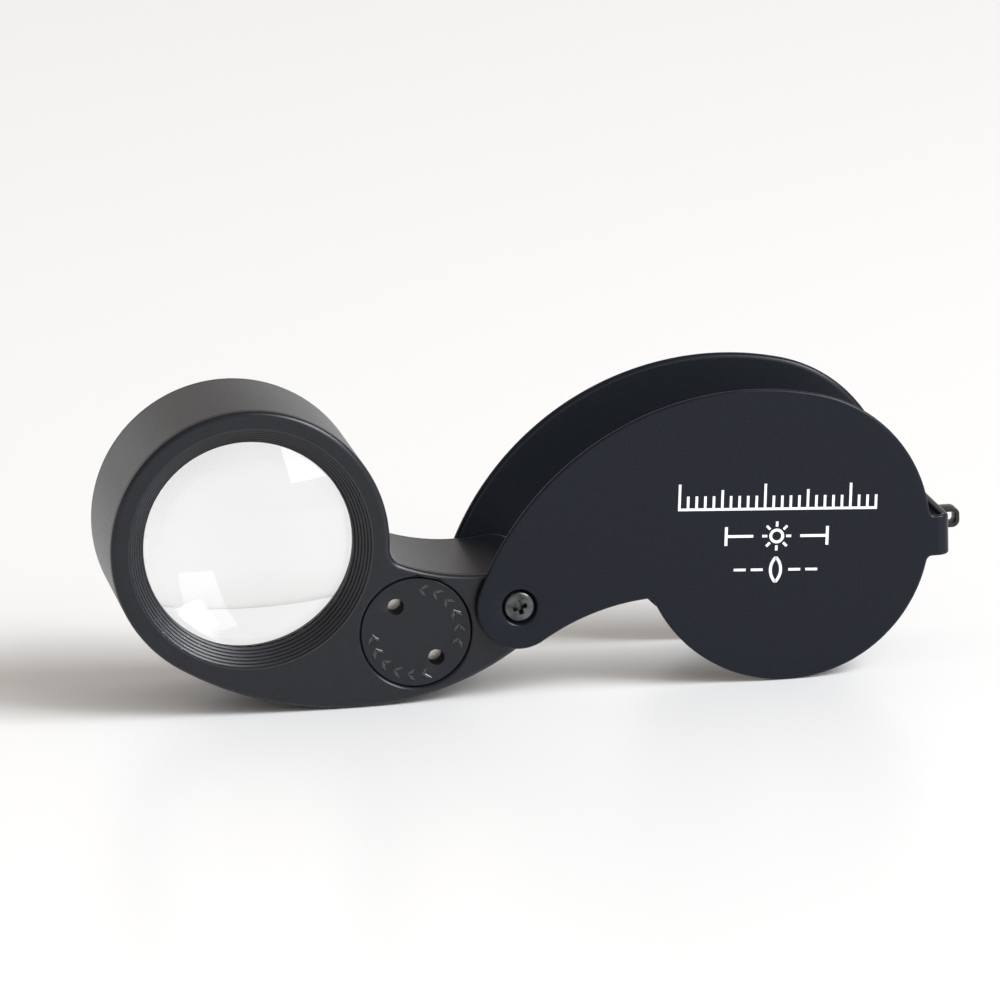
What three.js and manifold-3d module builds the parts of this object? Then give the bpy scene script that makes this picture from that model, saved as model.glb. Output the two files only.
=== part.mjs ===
// Folding illuminated loupe: a lens barrel on a lamp arm that swings into a two-sided sheet cover.
// Frame: X along the cover, Y through the lens (the eye side faces -Y), Z up, millimetres.
// Dimensions are laid out from the foot of the fold pivot, half way through the thickness.
// The finished group is then moved along X, so its origin is the middle of the base.

import * as THREE from 'three';
import { mergeVertices } from 'three/addons/utils/BufferGeometryUtils.js';
import Module from 'manifold-3d';

const wasm = await Module();
wasm.setup();

// ---------- driving dimensions ----------

const CENTRE_X = 3.75;
const PIVOT = { x: 0, z: 10.82 };
const BARREL = { x: -30.48, z: 19.45, r: 16 };
const BODY_HALF = 9.5;
const PLATE_T = 1.0;
const BODY_EDGE = 0.6;
const ARM_END_R = 4.1;
const BELLY_X = -18.58;
const WAIST_R = 24;
const WAIST_X = -4.18;
const WAIST_FILLET_R = 2;

const SHEET_T = 0.9;
const SHEET_GAP = 0.3;
const SHEET_EDGE = 0.25;
const COVER_END_R = 4.95;
const LOBE = { x: 31.26, z: 16.93, r: 16.93 };
const COVER_TOP_R = 34;
const COVER_HOLLOW_R = 26.4;
const COVER_NOTCH_R = 0.8;
const STRAP = { z0: 13.39, z1: 18.14, x: 50.57, bend: 1.5, fillet: 0.7 };
const STRAP_ROOT_X = 46.5;

const EYE = { x1: 53.98, z0: 14.2, z1: 16.6, wall: 0.55, width: 2.0, r: 0.9 };

const SCREW_HEAD_R = 1.75;
const SCREW_SHANK_R = 1.05;
const SCREW_HOLE_R = 1.15;
const SCREW_LENGTH = 5.8;
const COVER_HOLE = { inner: 1.65, outer: 2.05 };
const WASHER = { r0: 1.3, r1: 2.3, slack: 0.04 };

const STOP_R = 3.0;
const STOP_PIN_R = 0.45;
const STOP_PIN_DEG = 116.9;
const STOP_GROOVE = { half: 0.6, depth: 0.6, fromDeg: 91.5, toDeg: 268.5 };

const FUNNEL = { rim: 14.05, open: 13.85, throat: 12, depth: 2.6, lip: 0.3, steps: 6 };
const FUNNEL_SEAT_R = 14.1;
const LENS = { r: 12.5, clear: 12, edge: 1.56, bulge: 2.2 };
const LENS_BORE_R = 12.6;
const LENS_1_Y = -6.88;
const LENS_2_Y = -2.3;
const LENS_BORE_END_Y = 1.5;
const CHAMBER_R = 13.2;

const CAP = { x: -11.84, z: 8.41, r: 6.375, y0: -9.25, y1: -6.75, hole: 0.92, holeAt: 3.85, holeDeg: 125.9 };
const WELL_R = 6.45;
const WELL_END_Y = 3.4;
const CELL = { r: 5.8, h: 3.04, pitch: 3.06, y0: -6.34, count: 3 };
const SLEEVE = { r0: 5.95, r1: 6.4, y0: -6.3, y1: 3.36 };
const DISC = { r: 5.7, y0: -6.7, y1: -6.38 };

const BAY_R = 6.2;
const BAY_Y = 4.2;
const BOARD = { r: 4.9, y0: 5.0, y1: 5.8 };
const LAMP = { r: 1.5, tail: -2.0, tip: 1.8, tiltDeg: 25, at: 14.2, y: 6.4 };

const SLIDER_BASE = [[-13.5, -10.2], [4.4, 6.4], [1.75, 2.85]];
const SLIDER_KNOB = [[-12.9, -10.8], [4.95, 6.25], [0.25, 1.8]];
const SLIDER_POCKET = [[-13.9, -9.78], [BAY_Y, 9], [1.6, 3.5]];
const SLIDER_WINDOW = [[-13.1, -10.6], [4.8, 8.1], [-1, 2]];

const BACK_SCREW = { head: 0.95, shank: 0.5, hole: 0.58, tipY: 5.2, ringR: 14.45, ringDeg: [100, 215] };
const BACK_SCREW_ARM = { x: -5.0, z: 12.9 };

const ROUND = 72;
const SMALL = 32;
const RAD = Math.PI / 180;

// ---------- helpers ----------

function toSolid(geometry) {
  const bare = new THREE.BufferGeometry();
  bare.setAttribute('position', geometry.getAttribute('position').clone());
  if (geometry.index) bare.setIndex(geometry.index.clone());
  const welded = mergeVertices(bare, 1e-5);
  const triVerts = [];
  const index = welded.index.array;
  for (let i = 0; i < index.length; i += 3) {
    const [a, b, c] = [index[i], index[i + 1], index[i + 2]];
    if (a !== b && b !== c && c !== a) triVerts.push(a, b, c);
  }
  return new wasm.Manifold(new wasm.Mesh({
    numProp: 3,
    vertProperties: new Float32Array(welded.getAttribute('position').array),
    triVerts: new Uint32Array(triVerts),
  }));
}

function toGeometry(solid) {
  const mesh = solid.getMesh();
  const geometry = new THREE.BufferGeometry();
  geometry.setAttribute('position', new THREE.BufferAttribute(new Float32Array(mesh.vertProperties), 3));
  geometry.setIndex(new THREE.BufferAttribute(new Uint32Array(mesh.triVerts), 1));
  const flat = geometry.toNonIndexed();
  flat.computeVertexNormals();
  return flat;
}

function arc(cx, cz, r, fromDeg, toDeg, stepDeg = 4) {
  const count = Math.max(2, Math.ceil(Math.abs(toDeg - fromDeg) / stepDeg));
  const points = [];
  for (let i = 0; i <= count; i += 1) {
    const a = (fromDeg + ((toDeg - fromDeg) * i) / count) * RAD;
    points.push(new THREE.Vector2(cx + r * Math.cos(a), cz + r * Math.sin(a)));
  }
  return points;
}

function directionDeg(from, to) {
  return Math.atan2(to.z - from.z, to.x - from.x) / RAD;
}

// The point r1 from a and r2 from b, on the left of the line a to b when side is 1.
function meet(a, r1, b, r2, side) {
  const dx = b.x - a.x;
  const dz = b.z - a.z;
  const d = Math.hypot(dx, dz);
  const along = (r1 * r1 - r2 * r2 + d * d) / (2 * d);
  const off = side * Math.sqrt(r1 * r1 - along * along);
  return { x: a.x + (along * dx - off * dz) / d, z: a.z + (along * dz + off * dx) / d };
}

function dropRepeats(points) {
  const kept = points.filter((p, i) => i === 0 || p.distanceTo(points[i - 1]) > 1e-3);
  if (kept[0].distanceTo(kept[kept.length - 1]) < 1e-3) kept.pop();
  return kept;
}

// A flat outline in X and Z, made solid from y0 to y1. A positive edge rounds both rims.
function slab(points, y0, y1, edge = 0, holes = []) {
  const shape = new THREE.Shape(dropRepeats(points));
  holes.forEach((hole) => shape.holes.push(new THREE.Path(dropRepeats(hole))));
  const geometry = new THREE.ExtrudeGeometry(shape, {
    depth: y1 - y0 - 2 * edge,
    steps: 1,
    bevelEnabled: edge > 0,
    bevelThickness: edge,
    bevelSize: edge,
    bevelOffset: -edge,
    bevelSegments: 2,
    curveSegments: 1,
  });
  geometry.rotateX(Math.PI / 2);
  geometry.translate(0, y1 - edge, 0);
  return toSolid(geometry);
}

// A profile of [radius, y] pairs turned round the line through x, z along Y.
function turned(profile, x, z, segments = ROUND) {
  const points = profile.map(([r, y]) => new THREE.Vector2(r, y));
  const geometry = new THREE.LatheGeometry(points, segments);
  geometry.translate(x, 0, z);
  const solid = toSolid(geometry);
  return solid.volume() < 0 ? toSolid(flipped(geometry)) : solid;
}

function flipped(geometry) {
  const copy = geometry.clone();
  const index = copy.index.array;
  for (let i = 0; i < index.length; i += 3) [index[i], index[i + 1]] = [index[i + 1], index[i]];
  return copy;
}

function rod(r, y0, y1, x, z, segments = SMALL) {
  return turned([[0, y1], [r, y1], [r, y0], [0, y0]], x, z, segments);
}

function tube(r0, r1, y0, y1, x, z, segments = ROUND) {
  return turned([[r0, y0], [r0, y1], [r1, y1], [r1, y0], [r0, y0]], x, z, segments);
}

function block([[x0, x1], [y0, y1], [z0, z1]]) {
  const geometry = new THREE.BoxGeometry(x1 - x0, y1 - y0, z1 - z0);
  geometry.translate((x0 + x1) / 2, (y0 + y1) / 2, (z0 + z1) / 2);
  return toSolid(geometry);
}

function mirrored(solid) {
  return solid.mirror([0, 1, 0]);
}

const group = new THREE.Group();
group.name = 'folding_illuminated_loupe';

function place(name, solid, color, metalness, roughness, extra = {}) {
  const material = new THREE.MeshStandardMaterial({ color, metalness, roughness, ...extra });
  const mesh = new THREE.Mesh(toGeometry(solid.translate([-CENTRE_X, 0, 0])), material);
  mesh.name = name;
  group.add(mesh);
}

// ---------- outlines ----------

function armOutline() {
  const dx = BELLY_X - BARREL.x;
  const leftR = (dx * dx + BARREL.z ** 2 - BARREL.r ** 2) / (2 * (BARREL.z - BARREL.r));
  const px = PIVOT.x - BELLY_X;
  const rightR = (px * px + PIVOT.z ** 2 - ARM_END_R ** 2) / (2 * (PIVOT.z - ARM_END_R));
  const left = { x: BELLY_X, z: leftR };
  const right = { x: BELLY_X, z: rightR };
  const reach = WAIST_R + ARM_END_R;
  const waist = { x: WAIST_X, z: PIVOT.z + Math.sqrt(reach ** 2 - (WAIST_X - PIVOT.x) ** 2) };
  const fillet = meet(BARREL, BARREL.r + WAIST_FILLET_R, waist, WAIST_R - WAIST_FILLET_R, -1);
  const barrelFrom = directionDeg(BARREL, fillet);
  const barrelTo = directionDeg(left, BARREL) + 360;
  const endFrom = directionDeg(right, PIVOT);
  const endTo = directionDeg(PIVOT, waist);
  const filletFrom = directionDeg(waist, fillet);
  return [
    ...arc(BARREL.x, BARREL.z, BARREL.r, barrelFrom, barrelTo, 360 / ROUND),
    ...arc(left.x, left.z, leftR, barrelTo, 270),
    ...arc(right.x, right.z, rightR, 270, endFrom + 360),
    ...arc(PIVOT.x, PIVOT.z, ARM_END_R, endFrom, endTo, 6),
    ...arc(waist.x, waist.z, WAIST_R, endTo - 180, filletFrom),
    ...arc(fillet.x, fillet.z, WAIST_FILLET_R, filletFrom, barrelFrom - 180, 9),
  ];
}

function coverOutline() {
  const top = meet(PIVOT, COVER_TOP_R - COVER_END_R, LOBE, COVER_TOP_R - LOBE.r, -1);
  const hollow = { x: 16.82, z: 0 };
  hollow.z = PIVOT.z - Math.sqrt((COVER_HOLLOW_R + COVER_END_R) ** 2 - (hollow.x - PIVOT.x) ** 2);
  const notch = meet(hollow, COVER_HOLLOW_R - COVER_NOTCH_R, LOBE, LOBE.r + COVER_NOTCH_R, 1);
  const f = STRAP.fillet;
  const low = { x: 0, z: STRAP.z0 - f };
  low.x = LOBE.x + Math.sqrt((LOBE.r + f) ** 2 - (low.z - LOBE.z) ** 2);
  const high = { x: 0, z: STRAP.z1 + f };
  high.x = LOBE.x + Math.sqrt((LOBE.r + f) ** 2 - (high.z - LOBE.z) ** 2);
  const endFrom = directionDeg(top, PIVOT);
  const endTo = directionDeg(PIVOT, hollow) + 360;
  const notchFrom = directionDeg(hollow, notch);
  const notchTo = directionDeg(notch, LOBE);
  const lobeFrom = notchTo + 180;
  const lowDeg = directionDeg(LOBE, low);
  const highDeg = directionDeg(LOBE, high);
  const tabX = STRAP.x - STRAP.bend;
  return [
    ...arc(PIVOT.x, PIVOT.z, COVER_END_R, endFrom, endTo, 6),
    ...arc(hollow.x, hollow.z, COVER_HOLLOW_R, endTo - 180, notchFrom),
    ...arc(notch.x, notch.z, COVER_NOTCH_R, notchFrom, notchTo, 12),
    ...arc(LOBE.x, LOBE.z, LOBE.r, lobeFrom, lowDeg + 360, 360 / ROUND),
    ...arc(low.x, low.z, f, lowDeg + 180, 90, 15),
    new THREE.Vector2(tabX, STRAP.z0),
    new THREE.Vector2(tabX, STRAP.z1),
    ...arc(high.x, high.z, f, 270, highDeg + 180, 15),
    ...arc(LOBE.x, LOBE.z, LOBE.r, highDeg, directionDeg(top, LOBE), 360 / ROUND),
    ...arc(top.x, top.z, COVER_TOP_R, directionDeg(top, LOBE), endFrom),
  ];
}

function strapSolid() {
  const out = BODY_HALF + SHEET_GAP + SHEET_T;
  const inner = BODY_HALF + SHEET_GAP;
  const bendX = STRAP.x - STRAP.bend;
  const innerR = STRAP.bend - SHEET_T;
  const outline = [
    new THREE.Vector2(STRAP_ROOT_X, -out),
    ...arc(bendX, -out + STRAP.bend, STRAP.bend, -90, 0, 10),
    ...arc(bendX, out - STRAP.bend, STRAP.bend, 0, 90, 10),
    new THREE.Vector2(STRAP_ROOT_X, out),
    new THREE.Vector2(STRAP_ROOT_X, inner),
    ...arc(bendX, inner - innerR, innerR, 90, 0, 10),
    ...arc(bendX, -inner + innerR, innerR, 0, -90, 10),
    new THREE.Vector2(STRAP_ROOT_X, -inner),
  ];
  const shape = new THREE.Shape(dropRepeats(outline));
  const geometry = new THREE.ExtrudeGeometry(shape, { depth: STRAP.z1 - STRAP.z0, bevelEnabled: false });
  geometry.translate(0, 0, STRAP.z0);
  return toSolid(geometry);
}

// ---------- shared cutters ----------

const armShape = armOutline();

function sheetHole() {
  const inner = BODY_HALF + SHEET_GAP;
  const outer = inner + SHEET_T;
  const slope = (COVER_HOLE.outer - COVER_HOLE.inner) / SHEET_T;
  const past = 0.5;
  return turned([
    [0, outer + past],
    [COVER_HOLE.outer + slope * past, outer + past],
    [COVER_HOLE.inner - slope * past, inner - past],
    [0, inner - past],
  ], PIVOT.x, PIVOT.z, SMALL);
}

function stopGroove() {
  const mid = [];
  const { half, fromDeg, toDeg, depth } = STOP_GROOVE;
  mid.push(...arc(PIVOT.x, PIVOT.z, STOP_R + half, fromDeg, toDeg, 6));
  const end = (deg) => [PIVOT.x + STOP_R * Math.cos(deg * RAD), PIVOT.z + STOP_R * Math.sin(deg * RAD)];
  mid.push(...arc(...end(toDeg), half, toDeg, toDeg + 180, 15));
  mid.push(...arc(PIVOT.x, PIVOT.z, STOP_R - half, toDeg, fromDeg, 6));
  mid.push(...arc(...end(fromDeg), half, fromDeg + 180, fromDeg + 360, 15));
  return slab(mid, BODY_HALF - depth, BODY_HALF + 1);
}

// The rim of a body plate is rounded on the outer face only.
function bodyPlate() {
  const full = slab(armShape, BODY_HALF - PLATE_T - 2, BODY_HALF, BODY_EDGE);
  return full.subtract(block([[-60, 20], [0, BODY_HALF - PLATE_T], [-10, 50]]));
}

const towardBay = new THREE.Vector2(CAP.x - BARREL.x, CAP.z - BARREL.z).normalize();

function lampPlaced(solid) {
  const tilt = LAMP.tiltDeg * RAD;
  const along = new THREE.Vector3(
    -towardBay.x * Math.cos(tilt),
    Math.sin(tilt),
    -towardBay.y * Math.cos(tilt),
  );
  const turn = new THREE.Matrix4().makeRotationFromQuaternion(
    new THREE.Quaternion().setFromUnitVectors(new THREE.Vector3(0, 1, 0), along),
  );
  turn.setPosition(BARREL.x + towardBay.x * LAMP.at, LAMP.y, BARREL.z + towardBay.y * LAMP.at);
  return solid.transform(turn.elements);
}

const backScrewAt = [
  ...BACK_SCREW.ringDeg.map((deg) => ({
    x: BARREL.x + BACK_SCREW.ringR * Math.cos(deg * RAD),
    z: BARREL.z + BACK_SCREW.ringR * Math.sin(deg * RAD),
  })),
  BACK_SCREW_ARM,
];

// ---------- cover ----------

const BLACK = 0x2a2d32;
const coverShape = coverOutline();
const rearSheet = slab(coverShape, BODY_HALF + SHEET_GAP, BODY_HALF + SHEET_GAP + SHEET_T, SHEET_EDGE);
const stopAt = {
  x: PIVOT.x + STOP_R * Math.cos(STOP_PIN_DEG * RAD),
  z: PIVOT.z + STOP_R * Math.sin(STOP_PIN_DEG * RAD),
};
const stopHole = rod(STOP_PIN_R + 0.05, BODY_HALF, BODY_HALF + 2, stopAt.x, stopAt.z, 32);
const cover = rearSheet
  .add(mirrored(rearSheet))
  .add(strapSolid())
  .subtract(sheetHole())
  .subtract(mirrored(sheetHole()))
  .subtract(stopHole);
place('cover_shell', cover, BLACK, 0.3, 0.5);

const pinTop = BODY_HALF + SHEET_GAP + SHEET_T;
place('stop_pin', rod(STOP_PIN_R, BODY_HALF - 0.5, pinTop, stopAt.x, stopAt.z, 32), 0x8d9096, 0.9, 0.35);

function roundedRect(x0, x1, z0, z1, rLeft, rRight) {
  return [
    ...arc(x0 + rLeft, z0 + rLeft, rLeft, 180, 270, 15),
    ...arc(x1 - rRight, z0 + rRight, rRight, 270, 360, 15),
    ...arc(x1 - rRight, z1 - rRight, rRight, 0, 90, 15),
    ...arc(x0 + rLeft, z1 - rLeft, rLeft, 90, 180, 15),
  ];
}

const eyeOuter = roundedRect(STRAP.x, EYE.x1, EYE.z0, EYE.z1, 0.15, EYE.r);
const eyeInner = roundedRect(
  STRAP.x + EYE.wall,
  EYE.x1 - EYE.wall,
  EYE.z0 + EYE.wall,
  EYE.z1 - EYE.wall,
  0.15,
  EYE.r - EYE.wall,
);
place('lanyard_eye', slab(eyeOuter, -EYE.width / 2, EYE.width / 2, 0, [eyeInner.reverse()]), 0x4a4c50, 0.6, 0.45);

// ---------- arm castings ----------

const boreCutter = turned([
  [0, 10],
  [CHAMBER_R, 10],
  [CHAMBER_R, LENS_BORE_END_Y],
  [LENS_BORE_R, LENS_BORE_END_Y],
  [LENS_BORE_R, -BODY_HALF + FUNNEL.depth],
  [FUNNEL_SEAT_R, -BODY_HALF + FUNNEL.depth],
  [FUNNEL_SEAT_R, -10],
  [0, -10],
], BARREL.x, BARREL.z);

const lampBore = lampPlaced(rod(LAMP.r + 0.1, LAMP.tail - 0.6, 3.5, 0, 0));
const screwHole = rod(SCREW_HOLE_R, 3.5, 10, PIVOT.x, PIVOT.z);

let housing = slab(armShape, -BODY_HALF + PLATE_T, BODY_HALF - PLATE_T)
  .subtract(boreCutter)
  .subtract(rod(WELL_R, -10, WELL_END_Y, CAP.x, CAP.z, ROUND))
  .subtract(rod(0.8, 0, 6, CAP.x, CAP.z))
  .subtract(rod(BAY_R, BAY_Y, 10, CAP.x, CAP.z, ROUND))
  .subtract(block(SLIDER_POCKET))
  .subtract(block(SLIDER_WINDOW))
  .subtract(lampBore)
  .subtract(screwHole)
  .subtract(mirrored(screwHole));
backScrewAt.forEach(({ x, z }) => {
  housing = housing.subtract(rod(BACK_SCREW.hole, BACK_SCREW.tipY - 0.2, 10, x, z, 24));
});
place('arm_housing', housing, 0x3a3b3f, 0.3, 0.5);

const facePlate = mirrored(bodyPlate())
  .subtract(boreCutter)
  .subtract(mirrored(screwHole))
  .subtract(turned([
    [0, -BODY_HALF - 0.5],
    [WELL_R + 0.75, -BODY_HALF - 0.5],
    [WELL_R, -BODY_HALF + 0.25],
    [WELL_R, 0],
    [0, 0],
  ], CAP.x, CAP.z));
place('face_plate', facePlate, 0x37383d, 0.3, 0.5);

let backPlate = bodyPlate()
  .subtract(boreCutter)
  .subtract(screwHole)
  .subtract(stopGroove());
backScrewAt.forEach(({ x, z }) => {
  backPlate = backPlate.subtract(turned([
    [0, 10],
    [BACK_SCREW.head + 0.1, 10],
    [BACK_SCREW.head + 0.1, 9.3],
    [BACK_SCREW.hole, 8.83],
    [BACK_SCREW.hole, 8],
    [0, 8],
  ], x, z, 24));
});
place('back_plate', backPlate, 0x37383d, 0.3, 0.5);

backScrewAt.forEach(({ x, z }, i) => {
  const slot = block([[x - 0.65, x + 0.65], [9.2, 10], [z - 0.13, z + 0.13]]);
  const screw = turned([
    [0, BODY_HALF],
    [BACK_SCREW.head - 0.1, BODY_HALF],
    [BACK_SCREW.head, 9.4],
    [BACK_SCREW.shank, 8.9],
    [BACK_SCREW.shank, BACK_SCREW.tipY + 0.3],
    [0, BACK_SCREW.tipY],
  ], x, z, 24).subtract(slot);
  place(`back_screw_${i + 1}`, screw, 0x77797d, 0.9, 0.35);
});

// ---------- optics ----------

function funnelProfile() {
  const front = -BODY_HALF;
  const profile = [[FUNNEL.rim, front]];
  const dr = (FUNNEL.open - FUNNEL.throat) / FUNNEL.steps;
  const dy = (FUNNEL.depth - FUNNEL.lip) / FUNNEL.steps;
  for (let i = 0; i < FUNNEL.steps; i += 1) {
    const r = FUNNEL.open - i * dr;
    profile.push([r, front + i * dy], [r - dr * 0.25, front + (i + 1) * dy]);
  }
  profile.push(
    [FUNNEL.throat, front + FUNNEL.depth - FUNNEL.lip],
    [FUNNEL.throat, front + FUNNEL.depth],
    [FUNNEL.rim, front + FUNNEL.depth],
    [FUNNEL.rim, front],
  );
  return profile;
}

function lensProfile(y, side) {
  const sphere = (LENS.clear ** 2 + LENS.bulge ** 2) / (2 * LENS.bulge);
  const edgeFar = y + side * LENS.edge;
  const profile = [];
  const steps = 8;
  for (let i = 0; i <= steps; i += 1) {
    const r = (LENS.clear * i) / steps;
    const rise = Math.sqrt(sphere ** 2 - r ** 2) - (sphere - LENS.bulge);
    profile.push([r, edgeFar + side * rise]);
  }
  profile.push([LENS.r, edgeFar], [LENS.r, y], [0, y]);
  return profile;
}

place('eyepiece_ring', turned(funnelProfile(), BARREL.x, BARREL.z), 0x303136, 0.3, 0.55);
const glass = { transparent: true, opacity: 0.35 };
const lens1Back = LENS_1_Y + LENS.edge;
place('lens_front', turned(lensProfile(lens1Back, -1), BARREL.x, BARREL.z), 0xe8f2f5, 0, 0.05, glass);
place(
  'lens_spacer',
  tube(11.9, LENS.r, lens1Back + 0.02, LENS_2_Y - 0.02, BARREL.x, BARREL.z),
  0x202124,
  0.2,
  0.7,
);
place('lens_rear', turned(lensProfile(LENS_2_Y, 1), BARREL.x, BARREL.z), 0xe8f2f5, 0, 0.05, glass);
const keeperY = LENS_2_Y + LENS.edge + 0.02;
place('lens_keeper_ring', tube(11.95, LENS.r, keeperY, LENS_BORE_END_Y, BARREL.x, BARREL.z), 0x26272a, 0.3, 0.6);

// ---------- pivot ----------

function pivotScrew() {
  const seat = BODY_HALF;
  const head = seat + SHEET_GAP + SHEET_T;
  const body = turned([
    [0, head],
    [SCREW_HEAD_R - 0.7, head - 0.04],
    [SCREW_HEAD_R - 0.15, head - 0.15],
    [SCREW_HEAD_R, head - 0.28],
    [SCREW_HEAD_R, head - 0.4],
    [SCREW_SHANK_R + 0.15, seat + 0.25],
    [SCREW_SHANK_R, seat + 0.1],
    [SCREW_SHANK_R, head - SCREW_LENGTH - 0.8],
    [SCREW_SHANK_R - 0.35, head - SCREW_LENGTH - 1.15],
    [0, head - SCREW_LENGTH - 1.15],
  ], 0, 0, SMALL);
  const arm = block([[-1.05, 1.05], [head - 0.75, head + 1], [-0.2, 0.2]]);
  const cross = arm.add(arm.rotate([0, 90, 0]));
  return body.subtract(cross).rotate([0, -15, 0]).translate([PIVOT.x, 0, PIVOT.z]);
}

const washer = tube(
  WASHER.r0,
  WASHER.r1,
  BODY_HALF + WASHER.slack,
  BODY_HALF + SHEET_GAP - WASHER.slack,
  PIVOT.x,
  PIVOT.z,
  SMALL,
);
place('pivot_screw_front', mirrored(pivotScrew()), 0x8f9092, 0.9, 0.35);
place('pivot_screw_rear', pivotScrew(), 0x8f9092, 0.9, 0.35);
place('pivot_washer_front', mirrored(washer), 0x9a8f78, 0.8, 0.4);
place('pivot_washer_rear', washer, 0x9a8f78, 0.8, 0.4);

// ---------- battery well ----------

let cap = turned([
  [0, CAP.y1],
  [CAP.r, CAP.y1],
  [CAP.r, CAP.y0 + 0.15],
  [CAP.r - 0.15, CAP.y0],
  [0, CAP.y0],
], CAP.x, CAP.z);
[1, -1].forEach((side) => {
  const x = CAP.x + side * CAP.holeAt * Math.cos(CAP.holeDeg * RAD);
  const z = CAP.z + side * CAP.holeAt * Math.sin(CAP.holeDeg * RAD);
  cap = cap.subtract(rod(CAP.hole, CAP.y0 - 1, CAP.y1 + 1, x, z, 32));
});
place('battery_cap', cap, 0x303136, 0.3, 0.5);
place('cap_contact_disc', rod(DISC.r, DISC.y0, DISC.y1, CAP.x, CAP.z, ROUND), 0xcfc8b4, 0.9, 0.3);

for (let i = 0; i < CELL.count; i += 1) {
  const y0 = CELL.y0 + i * CELL.pitch;
  const cell = turned([
    [0, y0 + CELL.h],
    [CELL.r - 0.9, y0 + CELL.h],
    [CELL.r - 0.9, y0 + CELL.h - 0.25],
    [CELL.r - 0.25, y0 + CELL.h - 0.35],
    [CELL.r, y0 + CELL.h - 0.7],
    [CELL.r, y0 + 0.2],
    [CELL.r - 0.2, y0],
    [0, y0],
  ], CAP.x, CAP.z, 48);
  place(`battery_cell_${i + 1}`, cell, 0xc9ccd0, 0.95, 0.25);
}
place('battery_sleeve', tube(SLEEVE.r0, SLEEVE.r1, SLEEVE.y0, SLEEVE.y1, CAP.x, CAP.z), 0xd8d4c4, 0, 0.6);

const spring = turned([
  [0, BOARD.y0 - 0.02],
  [0.6, BOARD.y0 - 0.02],
  [0.6, 3.12],
  [2.0, 3.12],
  [5.4, 3.38],
  [5.4, 3.14],
  [2.0, 2.86],
  [0, 2.86],
], CAP.x, CAP.z, SMALL);
place('battery_spring', spring, 0xb58f45, 0.9, 0.35);

// ---------- lamp circuit ----------

place('circuit_board', rod(BOARD.r, BOARD.y0, BOARD.y1, CAP.x, CAP.z, 48), 0x2f5d3a, 0.1, 0.6);

const lampProfile = [];
for (let i = 0; i <= 8; i += 1) {
  const a = (90 - (90 * i) / 8) * RAD;
  lampProfile.push([LAMP.r * Math.cos(a), LAMP.tip - LAMP.r + LAMP.r * Math.sin(a)]);
}
lampProfile.push([LAMP.r, LAMP.tail], [0, LAMP.tail]);
const lamp = lampPlaced(turned(lampProfile, 0, 0, SMALL));
place('led_lamp', lamp, 0xf4f6f0, 0, 0.2, { transparent: true, opacity: 0.8 });

const across = new THREE.Vector2(-towardBay.y, towardBay.x);
[1, -1].forEach((side, i) => {
  const lead = toSolid(new THREE.CylinderGeometry(0.18, 0.18, 2.3, 16));
  const turn = new THREE.Matrix4().makeRotationFromQuaternion(
    new THREE.Quaternion().setFromUnitVectors(
      new THREE.Vector3(0, 1, 0),
      new THREE.Vector3(towardBay.x, 0, towardBay.y),
    ),
  );
  const out = 17.5;
  turn.setPosition(
    BARREL.x + towardBay.x * out + across.x * side * 0.64,
    BOARD.y1 + 0.2,
    BARREL.z + towardBay.y * out + across.y * side * 0.64,
  );
  place(`led_lead_${i + 1}`, lead.transform(turn.elements), 0xb9bbbe, 0.9, 0.3);
});

place('resistor', block([[-9.6, -8.0], [BOARD.y1 + 0.02, BOARD.y1 + 0.5], [9.6, 10.4]]), 0x1c1c1e, 0, 0.5);
place('switch_contact', block([[-12.6, -11.1], [BOARD.y1 + 0.02, BOARD.y1 + 0.3], [2.9, 5.6]]), 0xb58f45, 0.9, 0.35);
place('switch_slider', block(SLIDER_BASE).add(block(SLIDER_KNOB)), 0x1d1e20, 0, 0.6);

export default group;
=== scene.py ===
"""Looks for the folding illuminated loupe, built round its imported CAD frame.

Sizes in this script are millimetres unless a name says otherwise; MM turns them into metres.
Outlines are drawn in X and Z, and a piece's depth runs along Y.
"""

import math

import bmesh
import bpy
from mathutils import Matrix, Vector


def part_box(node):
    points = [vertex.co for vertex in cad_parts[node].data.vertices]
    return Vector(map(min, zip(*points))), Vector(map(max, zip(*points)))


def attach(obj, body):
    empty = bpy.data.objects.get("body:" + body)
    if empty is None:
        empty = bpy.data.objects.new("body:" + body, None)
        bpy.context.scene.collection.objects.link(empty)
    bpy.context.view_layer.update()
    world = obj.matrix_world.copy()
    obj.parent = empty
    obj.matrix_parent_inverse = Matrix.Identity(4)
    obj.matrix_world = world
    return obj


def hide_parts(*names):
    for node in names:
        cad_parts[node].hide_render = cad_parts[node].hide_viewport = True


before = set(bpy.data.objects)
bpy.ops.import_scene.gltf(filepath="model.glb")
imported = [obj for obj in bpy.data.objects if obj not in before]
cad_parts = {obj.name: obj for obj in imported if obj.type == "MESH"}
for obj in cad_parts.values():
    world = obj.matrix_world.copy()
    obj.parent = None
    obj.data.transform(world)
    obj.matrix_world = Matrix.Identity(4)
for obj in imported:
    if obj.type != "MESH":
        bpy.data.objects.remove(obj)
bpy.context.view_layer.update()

MM = 0.001


# ---------- places taken from the frame ----------


def box_mm(node):
    low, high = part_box(node)
    return Vector(low) / MM, Vector(high) / MM


def centre_mm(node):
    low, high = box_mm(node)
    return (low + high) / 2


PIVOT = centre_mm("pivot_screw_front")
BARREL = centre_mm("eyepiece_ring")
CAP = centre_mm("battery_cap")
BODY_HALF = box_mm("back_plate")[1].y
SHEET_OUT = box_mm("cover_shell")[1].y
STRAP_X = box_mm("cover_shell")[1].x

# ---------- driving dimensions ----------

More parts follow.
